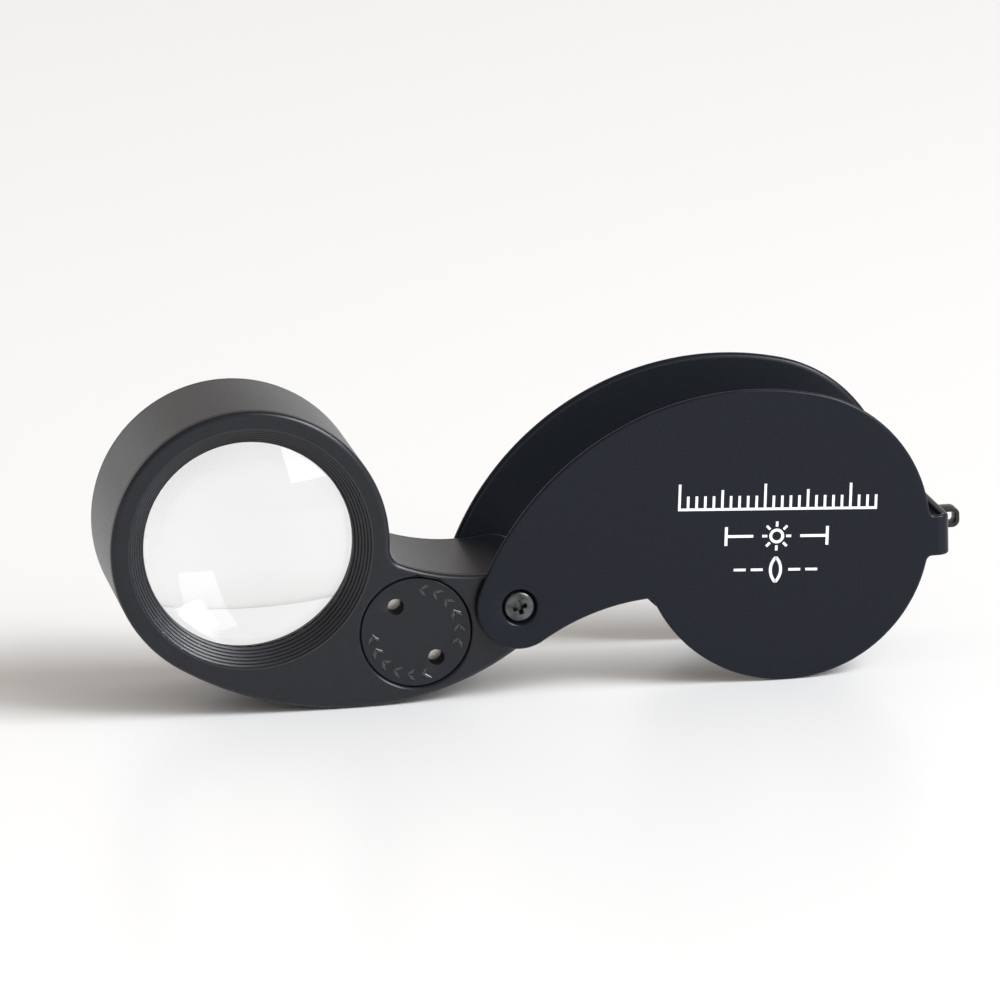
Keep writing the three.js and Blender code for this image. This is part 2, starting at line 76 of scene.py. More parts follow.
BARREL_R = 16.0
ARM_END_R = 4.1
BELLY_DX = -18.58
WAIST_DX = -4.18
WAIST_R = 24.0
WAIST_FILLET_R = 2.0
PLATE_T = 1.0
BODY_ROUND = 0.62
SEAM = 0.09
WELL_LIP = 0.27
WELL_END = 3.4
CELL_BAY_R = 6.2
CELL_BAY_START = 4.2
WINDOW = ((-13.1, 4.8, -1), (-10.6, 8.1, 2))
POCKET_LOW = (-13.9, 4.2, 1.6)
POCKET_HIGH = (-9.78, 3.5)
LAMP_BORE_R = 1.6

SHEET_T = 0.9
SHEET_ROUND_OUT = 0.3
SHEET_ROUND_IN = 0.55
LOBE_DX = 31.26
LOBE_DZ = 6.11
LOBE_R = 16.93
COVER_END_R = 4.95
COVER_TOP_R = 34.0
COVER_HOLLOW_R = 26.4
COVER_HOLLOW_DX = 16.82
COVER_NOTCH_R = 0.8
STRAP_Z0 = 13.39
STRAP_Z1 = 18.14
STRAP_BEND = 1.5
STRAP_FILLET = 0.7
HOLE_OUT_R = 2.05
HOLE_IN_R = 1.65
STOP_R = 3.0
STOP_DEG = 116.9
STOP_PIN_R = 0.45
STOP_GROOVE_HALF = 0.6
STOP_GROOVE_DEPTH = 0.6
STOP_GROOVE_FROM = 91.5
STOP_GROOVE_TO = 268.5

EYE_WALL = 0.55
EYE_CORNER = 0.9

FUNNEL_OPEN = 13.85
FUNNEL_RIM = 14.05
FUNNEL_SEAT = 14.1
FUNNEL_THROAT = 12.0
FUNNEL_DEPTH = 2.6
FUNNEL_LIP = 0.3
FUNNEL_STEPS = 6
FUNNEL_GROOVE = 0.075
FUNNEL_GROOVE_POINTS = 10
LENS_R = 12.5
LENS_CLEAR = 12.0
LENS_EDGE = 1.56
LENS_BULGE = 2.2
LENS_BORE_R = 12.6
LENS_BORE_END = 1.5
CHAMBER_R = 13.2
SPACER_R = 11.9
KEEPER_R = 11.95

CAP_R = 6.375
CAP_HOLE_R = 0.92
CAP_HOLE_AT = 3.85
CAP_HOLE_DEG = 125.9
CAP_EDGE = 0.14
WELL_R = 6.45
MARK_RING_R = 5.0
MARK_HALF = 0.66
MARK_HEIGHT = 0.095
MARK_SLOPE = 0.1
MARKS_PER_RUN = 6
MARK_STEP_DEG = 19

SCREW_R = 1.75
SHANK_R = 1.05
HEAD_DOME = (
    (0, 0),
    (0.7, 0.02),
    (1.15, 0.06),
    (1.45, 0.12),
    (1.62, 0.19),
    (1.72, 0.28),
    (SCREW_R, 0.36),
)
BACK_SCREW_R = 0.95
CROSS_REACH = 1.15
CROSS_HALF = 0.34
CROSS_DEPTH = 0.95
SLOT_HALF = 0.13
SLOT_DEPTH = 0.3

LAMP_R = 1.5
LAMP_AT_R = 14.2
LAMP_AT_Y = 6.4
LAMP_TILT = 25
KNOB_X = (-12.9, -10.8)
KNOB_Y = (4.95, 6.25)
KNOB_TOP = 1.8
KNOB_BASE_Z = 1.75
KNOB_RIDGES = 4
RIDGE_DEPTH = 0.25

LOBE = Vector((PIVOT.x + LOBE_DX, 0, PIVOT.z + LOBE_DZ))

# ---------- outlines ----------


def arc(cx, cz, r, start, end, step=2.0):
    """Points on a circle from one angle to the other, in degrees."""
    count = max(2, math.ceil(abs(end - start) / step))
    turns = [math.radians(start + (end - start) * i / count) for i in range(count + 1)]
    return [(cx + r * math.cos(a), cz + r * math.sin(a)) for a in turns]


def circle(cx, cz, r, count=96):
    return arc(cx, cz, r, 0, 360, 360 / count)[:-1]


def heading(a, b):
    """Direction from point a to point b, in degrees."""
    return math.degrees(math.atan2(b[1] - a[1], b[0] - a[0]))


def meet(a, ra, b, rb, side):
    """The point ra from a and rb from b, on the left of the line a to b when side is 1."""
    dx, dz = b[0] - a[0], b[1] - a[1]
    d = math.hypot(dx, dz)
    along = (ra * ra - rb * rb + d * d) / (2 * d)
    off = side * math.sqrt(ra * ra - along * along)
    return a[0] + (along * dx - off * dz) / d, a[1] + (along * dz + off * dx) / d


def without_repeats(points):
    kept = [p for i, p in enumerate(points) if i == 0 or math.dist(p, points[i - 1]) > 1e-3]
    return kept[:-1] if math.dist(kept[0], kept[-1]) < 1e-3 else kept


def arm_outline():
    """Barrel, belly, rounded end, waist and the hollow corner where the waist meets the barrel."""
    pivot, barrel = (PIVOT.x, PIVOT.z), (BARREL.x, BARREL.z)
    belly_x = PIVOT.x + BELLY_DX
    dx = belly_x - barrel[0]
    left_r = (dx**2 + barrel[1] ** 2 - BARREL_R**2) / (2 * (barrel[1] - BARREL_R))
    px = pivot[0] - belly_x
    right_r = (px**2 + pivot[1] ** 2 - ARM_END_R**2) / (2 * (pivot[1] - ARM_END_R))
    left, right = (belly_x, left_r), (belly_x, right_r)
    rise = math.sqrt((WAIST_R + ARM_END_R) ** 2 - WAIST_DX**2)
    waist = (pivot[0] + WAIST_DX, pivot[1] + rise)
    fillet = meet(barrel, BARREL_R + WAIST_FILLET_R, waist, WAIST_R - WAIST_FILLET_R, -1)
    barrel_from = heading(barrel, fillet)
    barrel_to = heading(left, barrel) + 360
    end_from, end_to = heading(right, pivot), heading(pivot, waist)
    fillet_from = heading(waist, fillet)
    return without_repeats(
        arc(*barrel, BARREL_R, barrel_from, barrel_to)
        + arc(*left, left_r, barrel_to, 270)
        + arc(*right, right_r, 270, end_from + 360)
        + arc(*pivot, ARM_END_R, end_from, end_to, 5)
        + arc(*waist, WAIST_R, end_to - 180, fillet_from)
        + arc(*fillet, WAIST_FILLET_R, fillet_from, barrel_from - 180, 7)
    )


def cover_side_outline():
    """One side of the cover, from the top of the strap's root round to its bottom."""
    pivot, lobe = (PIVOT.x, PIVOT.z), (LOBE.x, LOBE.z)
    top = meet(pivot, COVER_TOP_R - COVER_END_R, lobe, COVER_TOP_R - LOBE_R, -1)
    drop = math.sqrt((COVER_HOLLOW_R + COVER_END_R) ** 2 - COVER_HOLLOW_DX**2)
    hollow = (pivot[0] + COVER_HOLLOW_DX, pivot[1] - drop)
    notch = meet(hollow, COVER_HOLLOW_R - COVER_NOTCH_R, lobe, LOBE_R + COVER_NOTCH_R, 1)
    low_z, high_z = STRAP_Z0 - STRAP_FILLET, STRAP_Z1 + STRAP_FILLET
    reach = (LOBE_R + STRAP_FILLET) ** 2
    low = (lobe[0] + math.sqrt(reach - (low_z - lobe[1]) ** 2), low_z)
    high = (lobe[0] + math.sqrt(reach - (high_z - lobe[1]) ** 2), high_z)
    end_from = heading(top, pivot)
    end_to = heading(pivot, hollow) + 360
    notch_from, notch_to = heading(hollow, notch), heading(notch, lobe)
    return without_repeats(
        arc(*high, STRAP_FILLET, 270, heading(lobe, high) + 180, 12)
        + arc(*lobe, LOBE_R, heading(lobe, high), heading(top, lobe))
        + arc(*top, COVER_TOP_R, heading(top, lobe), end_from, 1.5)
        + arc(*pivot, COVER_END_R, end_from, end_to, 4)
        + arc(*hollow, COVER_HOLLOW_R, end_to - 180, notch_from)
        + arc(*notch, COVER_NOTCH_R, notch_from, notch_to, 10)
        + arc(*lobe, LOBE_R, notch_to + 180, heading(lobe, low) + 360)
        + arc(*low, STRAP_FILLET, heading(lobe, low) + 180, 90, 12)
    )


# ---------- mesh making ----------

SHARP_DEG = 32


def rounded(y_face, y_side, inset, steps=4, support=0.06):
    """Profile rows that roll from a face into a side wall: (inset, y) pairs, face first."""
    rows = [(inset + support, y_face)]
    span = y_side - y_face
    for i in range(steps + 1):
        a = math.radians(90 * i / steps)
        rows.append((inset * (1 - math.sin(a)), y_face + span * (1 - math.cos(a))))
    return rows


def inset_rows(points, rows, side):
    """Each row is the outline moved into the material by its inset, at its y."""
    count = len(points)
    normals = []
    for i in range(count):
        before, after = points[i - 1], points[(i + 1) % count]
        dx, dz = after[0] - before[0], after[1] - before[1]
        length = math.hypot(dx, dz)
        normals.append((-dz / length * side, dx / length * side))
    moved = []
    for d, y in rows:
        moved.append([(p[0] + n[0] * d, y, p[1] + n[1] * d) for p, n in zip(points, normals)])
    return moved


def add_rows(bm, rows):
    """Joins closed rows of points with bands of faces."""
    made = [[bm.verts.new(co) for co in row] for row in rows]
    for a, b in zip(made, made[1:]):
        count = len(a)
        for i in range(count):
            j = (i + 1) % count
            bm.faces.new((a[i], a[j], b[j], b[i]))
    return made


def ring_edges(bm, verts):
    edges = []
    for i, v in enumerate(verts):
        other = verts[(i + 1) % len(verts)]
        edges.append(bm.edges.get((v, other)) or bm.edges.new((v, other)))
    return edges


def fill(bm, *rings):
    """Closes a flat face, the first ring its outline and any others its holes."""
    edges = [e for ring in rings for e in ring_edges(bm, ring)]
    bmesh.ops.triangle_fill(bm, use_beauty=True, use_dissolve=False, edges=edges)


def slab(outer, outer_rows, holes=()):
    """A plate: an outline and its edge profile, with holes as (outline, edge profile) pairs."""
    bm = bmesh.new()
    body = add_rows(bm, inset_rows(outer, outer_rows, 1))
    walls = [add_rows(bm, inset_rows(points, rows, -1)) for points, rows in holes]
    fill(bm, body[0], *[wall[0] for wall in walls])
    fill(bm, body[-1], *[wall[-1] for wall in walls])
    return bm


def turned(profile, x, z, count=128):
    """A profile of (radius, y) pairs turned round the line through x, z along Y."""
    bm = bmesh.new()
    rings = []
    for r, y in profile:
        if r < 1e-6:
            rings.append([bm.verts.new((x, y, z))])
        else:
            rings.append([bm.verts.new((px, y, pz)) for px, pz in circle(x, z, r, count)])
    for a, b in zip(rings, rings[1:]):
        for i in range(count):
            j = (i + 1) % count
            if len(a) == 1 and len(b) == 1:
                break
            if len(a) == 1:
                bm.faces.new((a[0], b[j], b[i]))
            elif len(b) == 1:
                bm.faces.new((a[i], a[j], b[0]))
            else:
                bm.faces.new((a[i], a[j], b[j], b[i]))
    if profile[0] == profile[-1]:
        bmesh.ops.remove_doubles(bm, verts=bm.verts, dist=1e-5)
    return bm


def block(low, high):
    bm = bmesh.new()
    size = [h - l for l, h in zip(low, high)]
    middle = [(h + l) / 2 for l, h in zip(low, high)]
    place = Matrix.Translation(middle) @ Matrix.Diagonal((*size, 1))
    bmesh.ops.create_cube(bm, size=1, matrix=place)
    return bm


def rod(x, z, r, y0, y1, count=64):
    return turned([(0, y0), (r, y0), (r, y1), (0, y1)], x, z, count)


def to_object(name, bm, sharp=SHARP_DEG):
    """Closes the mesh up, turns it to metres and shades it smooth up to the sharp angle."""
    bmesh.ops.recalc_face_normals(bm, faces=bm.faces)
    bmesh.ops.scale(bm, vec=(MM, MM, MM), verts=bm.verts)
    mesh = bpy.data.meshes.new(name)
    bm.to_mesh(mesh)
    bm.free()
    obj = bpy.data.objects.new(name, mesh)
    bpy.context.scene.collection.objects.link(obj)
    shade(obj, sharp)
    return obj


def shade(obj, sharp=SHARP_DEG):
    for face in obj.data.polygons:
        face.use_smooth = True
    obj.data.set_sharp_from_angle(angle=math.radians(sharp))


def bake_modifiers(obj):
    graph = bpy.context.evaluated_depsgraph_get()
    made = bpy.data.meshes.new_from_object(obj.evaluated_get(graph))
    old = obj.data
    obj.modifiers.clear()
    obj.data = made
    bpy.data.meshes.remove(old)


def cut(obj, *cutters):
    """Cuts the given bmeshes out of an object."""
    tools = []
    for i, bm in enumerate(cutters):
        tool = to_object(f"cutter_{i}", bm)
        mod = obj.modifiers.new("cut", "BOOLEAN")
        mod.operation = "DIFFERENCE"
        mod.solver = "EXACT"
        mod.object = tool
        tools.append(tool)
    bake_modifiers(obj)
    for tool in tools:
        bpy.data.objects.remove(tool)
    shade(obj)


def even_normals(obj):
    mod = obj.modifiers.new("even_normals", "WEIGHTED_NORMAL")
    mod.keep_sharp = True
    mod.weight = 80


def finish_piece(obj, material, body, slot, *nodes):
    """Paints a piece, ties it to its body and hides the CAD nodes it stands for."""
    obj.data.materials.clear()
    obj.data.materials.append(material)
    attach(obj, body)
    if nodes:
        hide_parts(*nodes)


# ---------- materials ----------

COAT_ROUGHNESS = 0.14


def new_material(name, base, roughness, metallic=0.0):
    material = bpy.data.materials.new(name)
    material.use_nodes = True
    shader = material.node_tree.nodes["Principled BSDF"]
    shader.inputs["Base Color"].default_value = (*base, 1)
    shader.inputs["Roughness"].default_value = roughness
    shader.inputs["Metallic"].default_value = metallic
    return material, material.node_tree, shader


def noise(tree, scale, detail=2.0, stretch=(1, 1, 1)):
    """Noise in the object's own space; scale is in features per metre."""
    place = tree.nodes.new("ShaderNodeTexCoord")
    mapping = tree.nodes.new("ShaderNodeMapping")
    mapping.inputs["Scale"].default_value = stretch
    texture = tree.nodes.new("ShaderNodeTexNoise")
    texture.inputs["Scale"].default_value = scale
    texture.inputs["Detail"].default_value = detail
    tree.links.new(place.outputs["Object"], mapping.inputs["Vector"])
    tree.links.new(mapping.outputs["Vector"], texture.inputs["Vector"])
    return texture.outputs["Fac"]


def spread(tree, value, low, high):
    """Maps a 0 to 1 value to a range."""
    node = tree.nodes.new("ShaderNodeMapRange")
    node.inputs["From Min"].default_value = 0.3
    node.inputs["From Max"].default_value = 0.7
    node.inputs["To Min"].default_value = low
    node.inputs["To Max"].default_value = high
    tree.links.new(value, node.inputs["Value"])
    return node.outputs["Result"]


def blend_colours(tree, value, first, second):
    ramp = tree.nodes.new("ShaderNodeValToRGB")
    ramp.color_ramp.elements[0].position = 0.35
    ramp.color_ramp.elements[0].color = (*first, 1)
    ramp.color_ramp.elements[1].position = 0.65
    ramp.color_ramp.elements[1].color = (*second, 1)
    tree.links.new(value, ramp.inputs["Fac"])
    return ramp.outputs["Color"]


def bump(tree, shader, height, strength, distance):
    node = tree.nodes.new("ShaderNodeBump")
    node.inputs["Strength"].default_value = strength
    node.inputs["Distance"].default_value = distance
    tree.links.new(height, node.inputs["Height"])
    tree.links.new(node.outputs["Normal"], shader.inputs["Normal"])


def mottle(tree, shader, value, dark, light):
    tree.links.new(blend_colours(tree, value, dark, light), shader.inputs["Base Color"])


def vary_gloss(tree, shader, value, low, high):
    tree.links.new(spread(tree, value, low, high), shader.inputs["Roughness"])


def coated(name, dark, light, gloss, shine, grain, grain_depth, coat=0.0):
    """Sprayed or anodised metal: faint specks of colour, slightly uneven gloss and a fine grain."""
    material, tree, shader = new_material(name, dark, gloss[1])
    shader.inputs["Specular IOR Level"].default_value = shine
    shader.inputs["Coat Weight"].default_value = coat
    shader.inputs["Coat Roughness"].default_value = COAT_ROUGHNESS
    mottle(tree, shader, noise(tree, grain * 0.6, 2), dark, light)
    vary_gloss(tree, shader, noise(tree, 2600, 3), *gloss)
    bump(tree, shader, noise(tree, grain, 3), 0.7, grain_depth)
    return material


def plain_metal(name, dark, light, gloss, brush=(1, 1, 1)):
    material, tree, shader = new_material(name, light, gloss[1], 1.0)
    streaks = noise(tree, 900, 4, brush)
    mottle(tree, shader, streaks, dark, light)
    vary_gloss(tree, shader, noise(tree, 500, 3), *gloss)
    bump(tree, shader, streaks, 0.4, 4e-6)
    return material


def moulded(name, dark, light, roughness, grain=2500, depth=4e-6):
    """Moulded plastic: broad faint colour changes and a fine grain."""
    material, tree, shader = new_material(name, light, roughness)
    mottle(tree, shader, noise(tree, 300, 3), dark, light)
    vary_gloss(tree, shader, noise(tree, 800, 2), roughness * 0.85, roughness * 1.15)
    bump(tree, shader, noise(tree, grain, 2), 0.5, depth)
    return material


def glass(name, tint, ior, roughness):
    material, tree, shader = new_material(name, tint, roughness)
    shader.inputs["Transmission Weight"].default_value = 1.0
    shader.inputs["IOR"].default_value = ior
    mottle(tree, shader, noise(tree, 60, 1), tint, tuple(min(1, c * 1.01) for c in tint))
    vary_gloss(tree, shader, noise(tree, 900, 2), 0.0, roughness)
    return material


COVER_BLACK = coated(
    name="cover_black",
    dark=(0.0026, 0.0046, 0.0088),
    light=(0.0046, 0.0072, 0.0126),
    gloss=(0.33, 0.38),
    shine=0.12,
    grain=5600,
    grain_depth=7e-6,
    coat=0.2,
)
# A lighter copy of the cover paint for the plates' inner faces: painted light, for the light that
# falls in between the plates.
COVER_INSIDE_PAINTED_LIGHT = coated(
    name="cover_inside_painted_light",
    dark=(0.007, 0.009, 0.0125),
    light=(0.010, 0.0125, 0.017),
    gloss=(0.36, 0.42),
    shine=0.2,
    grain=5600,
    grain_depth=7e-6,
    coat=0.1,
)
BODY_BLACK = coated(
    name="body_black",
    dark=(0.0045, 0.0054, 0.009),
    light=(0.0072, 0.0082, 0.0125),
    gloss=(0.33, 0.38),
    shine=0.23,
    grain=5200,
    grain_depth=9e-6,
    coat=0.25,
)
SIDE_BLACK = coated(
    name="side_black",
    dark=(0.0042, 0.005, 0.008),
    light=(0.0068, 0.0076, 0.011),
    gloss=(0.35, 0.40),
    shine=0.16,
    grain=5200,
    grain_depth=9e-6,
    coat=0.15,
)
CAP_BLACK = coated(
    name="cap_black",
    dark=(0.0042, 0.0051, 0.0087),
    light=(0.007, 0.008, 0.0122),
    gloss=(0.33, 0.38),
    shine=0.22,
    grain=5200,
    grain_depth=8e-6,
    coat=0.25,
)
# The raised marks are the cap's own black plastic; their lighter colour is a painted sheen for the
# glints on their edges.
MARK_BLACK_PAINTED_SHEEN = coated(
    name="mark_black_painted_sheen",
    dark=(0.012, 0.013, 0.016),
    light=(0.024, 0.025, 0.029),
    gloss=(0.18, 0.24),
    shine=0.6,
    grain=5200,
    grain_depth=3e-6,
    coat=0.3,
)
RING_BLACK = coated(
    name="ring_black",
    dark=(0.0045, 0.0054, 0.0085),
    light=(0.0075, 0.0085, 0.0118),
    gloss=(0.37, 0.42),
    shine=0.5,
    grain=5200,
    grain_depth=5e-6,
    coat=0.1,
)
EYE_BLACK = coated(
    name="eye_black",
    dark=(0.010, 0.0095, 0.010),
    light=(0.016, 0.0155, 0.016),
    gloss=(0.35, 0.42),
    shine=0.35,
    grain=4200,
    grain_depth=6e-6,
)
# Black of the inner rings; also used on the cap's hole walls as painted shade.
INNER_BLACK_AND_HOLE_SHADE = coated(
    name="inner_black_and_hole_shade",
    dark=(0.004, 0.004, 0.004),
    light=(0.007, 0.007, 0.007),
    gloss=(0.55, 0.7),
    shine=0.3,
    grain=3000,
    grain_depth=8e-6,
)
SCREW_STEEL = plain_metal("screw_steel", (0.04, 0.043, 0.043), (0.115, 0.121, 0.119), (0.26, 0.42))
WASHER_BRASS = plain_metal("washer_brass", (0.45, 0.38, 0.24), (0.6, 0.52, 0.36), (0.3, 0.45))
CONTACT = plain_metal("contact_plate", (0.90, 0.86, 0.77), (0.98, 0.95, 0.88), (0.28, 0.38))
CELL_NICKEL = plain_metal(
    "cell_nickel", (0.62, 0.63, 0.65), (0.8, 0.81, 0.83), (0.15, 0.3), brush=(1, 8, 1)
)
SLEEVE = moulded("sleeve_pale", (0.58, 0.55, 0.47), (0.68, 0.65, 0.57), 0.55)
BOARD = moulded("board_green", (0.02, 0.14, 0.06), (0.04, 0.2, 0.09), 0.4)
COMPONENT = moulded("component_black", (0.012, 0.012, 0.012), (0.02, 0.02, 0.02), 0.5)
SLIDER_BLACK = moulded("slider_black", (0.012, 0.012, 0.013), (0.02, 0.02, 0.022), 0.45)
PRINT_WHITE = moulded(
    "print_white", (0.78, 0.82, 0.86), (0.88, 0.91, 0.94), 0.5, grain=4000, depth=2e-6
)
LENS_GLASS = glass("lens_glass", (0.95, 0.953, 0.956), 1.52, 0.004)
LAMP_RESIN = glass("lamp_resin", (0.96, 0.97, 0.93), 1.5, 0.03)
PHOSPHOR = moulded("lamp_phosphor", (0.75, 0.62, 0.12), (0.85, 0.72, 0.2), 0.6)

# ---------- cover ----------

TAB_X = STRAP_X - STRAP_BEND
SPINE_HALF = SHEET_OUT - STRAP_BEND
BEND_LENGTH = STRAP_BEND * math.pi / 2
FAR_START = TAB_X + 2 * BEND_LENGTH + 2 * SPINE_HALF


def wrap(s, depth):
    """Takes a place on the unbent sheet to the bent one: s along it, depth below its outer face."""
    r = STRAP_BEND - depth
    if s <= TAB_X:
        return s, -SHEET_OUT + depth
    if s <= TAB_X + BEND_LENGTH:
        a = (s - TAB_X) / STRAP_BEND
        return TAB_X + r * math.sin(a), -SPINE_HALF - r * math.cos(a)
    if s < FAR_START - BEND_LENGTH:
        return STRAP_X - depth, -SPINE_HALF + (s - TAB_X - BEND_LENGTH)
    if s < FAR_START:
        a = (s - (FAR_START - BEND_LENGTH)) / STRAP_BEND
        return TAB_X + r * math.cos(a), SPINE_HALF + r * math.sin(a)
    return FAR_START + TAB_X - s, SHEET_OUT - depth


def flip_side(points):
    """A near-side outline laid out on the far side of the unbent sheet."""
    return [(FAR_START + TAB_X - x, z) for x, z in reversed(points)]


def cover_sheet():
    """One sheet cut flat with its holes, then bent round the strap's two corners."""
    side = cover_side_outline()
    bends = [TAB_X + BEND_LENGTH * i / 8 for i in range(9)]
    along = bends + [s + FAR_START - BEND_LENGTH - TAB_X for s in bends]
    low = [(s, STRAP_Z0) for s in along]
    high = [(s, STRAP_Z1) for s in reversed(along)]
    outline = side + low + flip_side(side) + high
    first_low = len(side)
    last_high = len(outline) - 1
    pairs = [(first_low + i, last_high - i) for i in range(len(along))]
    rows = rounded(0, SHEET_ROUND_OUT, SHEET_ROUND_OUT)
    rows += reversed(rounded(SHEET_T, SHEET_T - SHEET_ROUND_IN, SHEET_ROUND_IN))

    bm = bmesh.new()
    body = add_rows(bm, inset_rows(outline, rows, 1))
    screw_rows = [(0.2, 0), (0.15, 0.015), (0.03, 0.11), (0, 0.17)]
    screw_rows.append((HOLE_IN_R - HOLE_OUT_R, SHEET_T))
    pin_rows = [(0.06, 0), (0, 0.06), (0, SHEET_T)]
    pin_a = math.radians(STOP_DEG)
    pin_x, pin_z = PIVOT.x + STOP_R * math.cos(pin_a), PIVOT.z + STOP_R * math.sin(pin_a)
    pin = circle(pin_x, pin_z, STOP_PIN_R + 0.05, 32)
    hole = circle(PIVOT.x, PIVOT.z, HOLE_OUT_R)
    near_hole = add_rows(bm, inset_rows(hole, screw_rows, -1))
    far_hole = add_rows(bm, inset_rows(flip_side(hole), screw_rows, -1))
    far_pin = add_rows(bm, inset_rows(flip_side(pin), pin_rows, -1))
    for k in (0, -1):
        ring = body[k]
        for (a, b), (c, d) in zip(pairs, pairs[1:]):
            bm.faces.new((ring[a], ring[c], ring[d], ring[b]))
        first, last = pairs[0], pairs[-1]
        near = ring[first[1] :] + ring[: first[0] + 1]
        far = ring[last[0] : last[1] + 1]
        fill(bm, near, near_hole[k])
        fill(bm, far, far_hole[k], far_pin[k])
    for v in bm.verts:
        v.co.x, v.co.y = wrap(v.co.x, v.co.y)
    sheet = to_object("cover_sheet", bm)
    even_normals(sheet)
    finish_piece(sheet, COVER_BLACK, "cover", "cover_paint", "cover_shell")
    # The second slot is the lighter copy for the inner faces of both plates: painted light between
    # the plates.
    sheet.data.materials.append(COVER_INSIDE_PAINTED_LIGHT)
    inner_half = SHEET_OUT - SHEET_T + 0.05
    for face in sheet.data.polygons:
        if abs(face.center.y) / MM < inner_half and abs(face.normal.y) > 0.9:
            face.material_index = 1


def rounded_box(x0, x1, z0, z1, left, right):
    return without_repeats(
        arc(x0 + left, z0 + left, left, 180, 270, 15)
        + arc(x1 - right, z0 + right, right, 270, 360, 10)
        + arc(x1 - right, z1 - right, right, 0, 90, 10)
        + arc(x0 + left, z1 - left, left, 90, 180, 15)
    )


def lanyard_loop():
    low, high = box_mm("lanyard_eye")
    edge = 0.14
    outer = rounded_box(low.x, high.x, low.z, high.z, 0.15, EYE_CORNER)
    w = EYE_WALL
    inner = rounded_box(low.x + w, high.x - w, low.z + w, high.z - w, 0.15, EYE_CORNER - w)
    rows = rounded(low.y, low.y + edge, edge, 3, 0.02)
    rows += reversed(rounded(high.y, high.y - edge, edge, 3, 0.02))
    loop = to_object("lanyard_loop", slab(outer, rows, [(inner, rows)]))
    finish_piece(loop, EYE_BLACK, "cover", "eye_steel", "lanyard_eye")


# ---------- printed marks ----------

PRINT_Y = -SHEET_OUT - 0.012
PRINT_ROOT_Y = -SHEET_OUT + 0.004
PRINT_DEG = -3.3
PRINT_DX = -1.2
PRINT_DZ = -0.2
LINE = 0.3
CURVE_LINE = 0.34
RULE_MARKS = 24
RULE_BASE_Z = 3.55
LAMP_Z = 0.35
LENS_Z = -3.6


def print_strip(bm, cx, cz, length, width, turn=0.0):
    """A thin printed bar."""
    a = math.radians(turn)
    ux, uz = math.cos(a), math.sin(a)
    corners = []
    for along, over in ((-1, -1), (1, -1), (1, 1), (-1, 1)):
        dx, dz = along * length / 2, over * width / 2
        corners.append((cx + dx * ux - dz * uz, cz + dx * uz + dz * ux))
    print_shape(bm, corners)


def print_shape(bm, points):
    """A printed shape: a thin closed slab that stands just proud of the cover."""
    front = [bm.verts.new((x, PRINT_Y, z)) for x, z in points]
    back = [bm.verts.new((x, PRINT_ROOT_Y, z)) for x, z in points]
    count = len(points)
    bm.faces.new(front)
    bm.faces.new(list(reversed(back)))
    for i in range(count):
        j = (i + 1) % count
        bm.faces.new((front[j], front[i], back[i], back[j]))


def print_arc(bm, cx, cz, r, start, end, step):
    outer = arc(cx, cz, r + CURVE_LINE / 2, start, end, step)
    inner = arc(cx, cz, r - CURVE_LINE / 2, end, start, step)
    print_shape(bm, outer + inner)


def printed_scale():
    """A short millimetre rule with the fifth and tenth lines longer."""
    bm = bmesh.new()
    for i in range(RULE_MARKS):
        tall = 2.8 if i % 10 == 0 else 2.1 if i % 5 == 0 else 1.4
        x = i - (RULE_MARKS - 1) / 2
        print_strip(bm, x, RULE_BASE_Z + LINE / 2 + tall / 2, LINE, tall)
    print_strip(bm, 0, RULE_BASE_Z, 23.3, LINE)
    return bm


def printed_lamp():
    """A round lamp with rays, between two barred lines."""
    bm = bmesh.new()
    print_arc(bm, 0, LAMP_Z, 0.7, 0, 180, 12)
    print_arc(bm, 0, LAMP_Z, 0.7, 180, 360, 12)
    for i in range(8):
        a = math.radians(i * 45)
        print_strip(bm, 1.4 * math.cos(a), LAMP_Z + 1.4 * math.sin(a), 0.6, LINE, i * 45)
    for side in (-1, 1):
        print_strip(bm, side * 4.25, LAMP_Z, 3.0, 0.32)
        print_strip(bm, side * 5.92, LAMP_Z, CURVE_LINE, 2.2)
    return bm


def printed_lens():
    """The outline of a double-curved lens with its axis."""
    bm = bmesh.new()
    half, bulge = 1.45, 0.6
    r = (half**2 + bulge**2) / (2 * bulge)
    reach = math.degrees(math.asin(half / r))
    print_arc(bm, -(r - bulge), LENS_Z, r, -reach, reach, 5)
    print_arc(bm, r - bulge, LENS_Z, r, 180 - reach, 180 + reach, 5)
    for side in (-1, 1):
        print_strip(bm, side * 2.2, LENS_Z, 1.4, LINE)
        print_strip(bm, side * 4.2, LENS_Z, 1.4, LINE)
    return bm


def printed_marks():
    centre = Vector((LOBE.x + PRINT_DX, 0, LOBE.z + PRINT_DZ))
    turn = Matrix.Rotation(math.radians(-PRINT_DEG), 3, "Y")
    prints = (
        ("print_rule", printed_scale()),
        ("print_lamp", printed_lamp()),
        ("print_lens", printed_lens()),
    )
    for name, bm in prints:
        for v in bm.verts:
            flat = turn @ Vector((v.co.x, 0, v.co.z))
            v.co.x, v.co.z = flat.x + centre.x, flat.z + centre.z
        finish_piece(to_object(name, bm), PRINT_WHITE, "cover", "cover_paint")


# ---------- arm ----------


